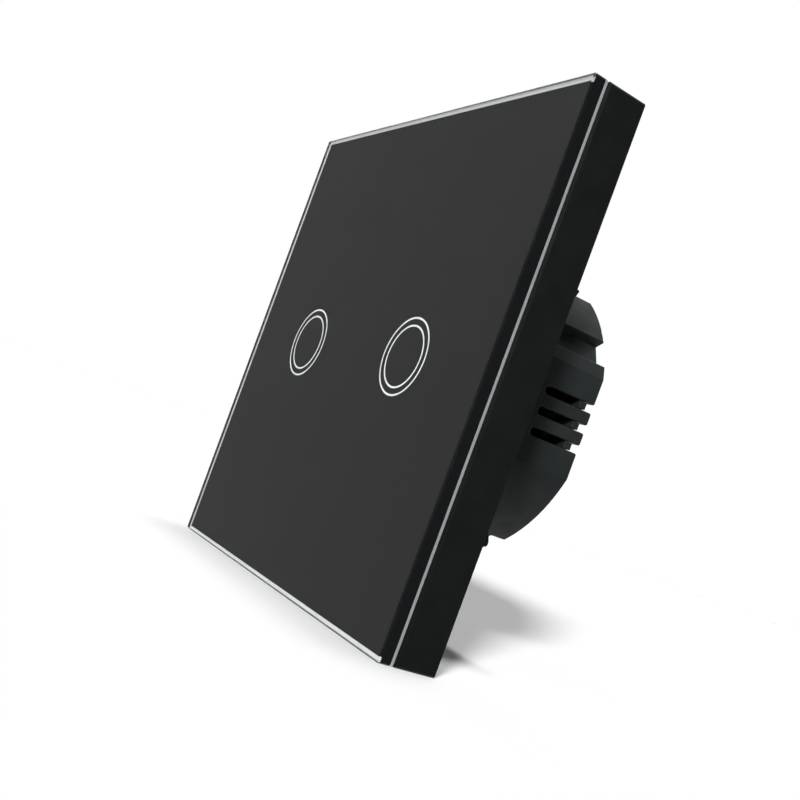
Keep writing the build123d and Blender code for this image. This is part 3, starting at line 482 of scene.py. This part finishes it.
# Pale floor, white backdrop, two grey cards that the gloss mirrors, and two sun lamps:
# one overhead, and a stronger one low at the front right
studio = {
    "floorSize": 12.0,
    "floorColour": (0.97, 0.97, 0.97),
    "floorRoughness": 0.9,
    "fillGrey": 0.11,
    # upright cards: size is depth along Y and height, grey is at the rear and at the front end
    "cards": (
        {"name": "leftCard", "place": (-1.5, -1.0, 0.1), "size": (3.0, 3.4), "grey": (0.185, 0.355)},
        {"name": "rightCard", "place": (1.5, 0.5, 0.0), "size": (9.0, 7.0), "grey": (0.08, 0.08)},
    ),
    "cardChange": (-0.05, 0.2),     # the grey changes between these shares of the depth from its middle
    # spread is the lamp's width as seen from the object, in degrees
    "lamps": (
        {"name": "topLamp", "from": (-0.03, 0.1, 0.99), "strength": 1.08, "spread": 12.0},
        {"name": "keyLamp", "from": (0.68, -0.65, 0.37), "strength": 5.0, "spread": 8.0},
    ),
}
white = (1.0, 1.0, 1.0, 1.0)
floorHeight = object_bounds()[0][2]
deselectAll()
bpy.ops.mesh.primitive_plane_add(size=studio["floorSize"], location=(0, 0, floorHeight))
floor = bpy.context.object
floor.name = "floor"
floorPaint = newMaterial("floorPaint", studio["floorColour"], studio["floorRoughness"],
                         {"Specular IOR Level": 0.0})
floor.data.materials.append(floorPaint)
floor.visible_glossy = False        # the pane would show where the floor ends

for card in studio["cards"]:
    deselectAll()
    bpy.ops.mesh.primitive_plane_add(size=1.0, location=card["place"], rotation=(0, math.pi / 2, 0))
    sheet = bpy.context.object
    sheet.name = card["name"]
    depth, height = card["size"]
    sheet.scale = (height, depth, 1.0)
    paint = newMaterial(card["name"] + "Paint", (0.0, 0.0, 0.0), 1.0,
                        {"Specular IOR Level": 0.0, "Emission Color": white})
    # brighter towards the front, where the pane mirrors it more weakly
    along = paint.node_tree.nodes.new("ShaderNodeSeparateXYZ")
    paint.node_tree.links.new(objectCoords(paint), along.inputs["Vector"])
    rearGrey, frontGrey = card["grey"]
    graded = spread(paint, along.outputs["Y"], frontGrey, rearGrey, *studio["cardChange"])
    shader = paint.node_tree.nodes["Principled BSDF"]
    paint.node_tree.links.new(graded, shader.inputs["Emission Strength"])
    sheet.data.materials.append(paint)
    sheet.visible_camera = False        # only seen mirrored in the glass and the plastic
    sheet.visible_diffuse = False
    sheet.visible_transmission = False
    sheet.visible_shadow = False

# the backdrop is white wherever it is seen, also mirrored or through glass, and fills softly with grey
world = bpy.data.worlds.new("studioWorld")
bpy.context.scene.world = world
world.use_nodes = True
tree = world.node_tree
tree.nodes.clear()
output = tree.nodes.new("ShaderNodeOutputWorld")
backdrop = tree.nodes.new("ShaderNodeBackground")
fill = tree.nodes.new("ShaderNodeBackground")
choose = tree.nodes.new("ShaderNodeMixShader")
path = tree.nodes.new("ShaderNodeLightPath")
backdrop.inputs["Color"].default_value = white
fill.inputs["Color"].default_value = white
fill.inputs["Strength"].default_value = studio["fillGrey"]
seen = path.outputs["Is Camera Ray"]
for kind in ("Is Glossy Ray", "Is Transmission Ray"):
    either = tree.nodes.new("ShaderNodeMath")
    either.operation = "MAXIMUM"
    tree.links.new(seen, either.inputs[0])
    tree.links.new(path.outputs[kind], either.inputs[1])
    seen = either.outputs["Value"]
tree.links.new(seen, choose.inputs["Fac"])
tree.links.new(fill.outputs["Background"], choose.inputs[1])
tree.links.new(backdrop.outputs["Background"], choose.inputs[2])
tree.links.new(choose.outputs["Shader"], output.inputs["Surface"])

for lamp in studio["lamps"]:
    lampData = bpy.data.lights.new(lamp["name"], "SUN")
    lampData.energy = lamp["strength"]
    lampData.angle = math.radians(lamp["spread"])
    lampObject = bpy.data.objects.new(lamp["name"], lampData)
    bpy.context.scene.collection.objects.link(lampObject)
    lampObject.visible_transmission = False     # the print is lit once, not again by refraction
    lampObject.rotation_euler = Vector(lamp["from"]).to_track_quat("Z", "Y").to_euler()

bpy.context.scene.view_settings.view_transform = "Standard"
print("camera, floor and light done")
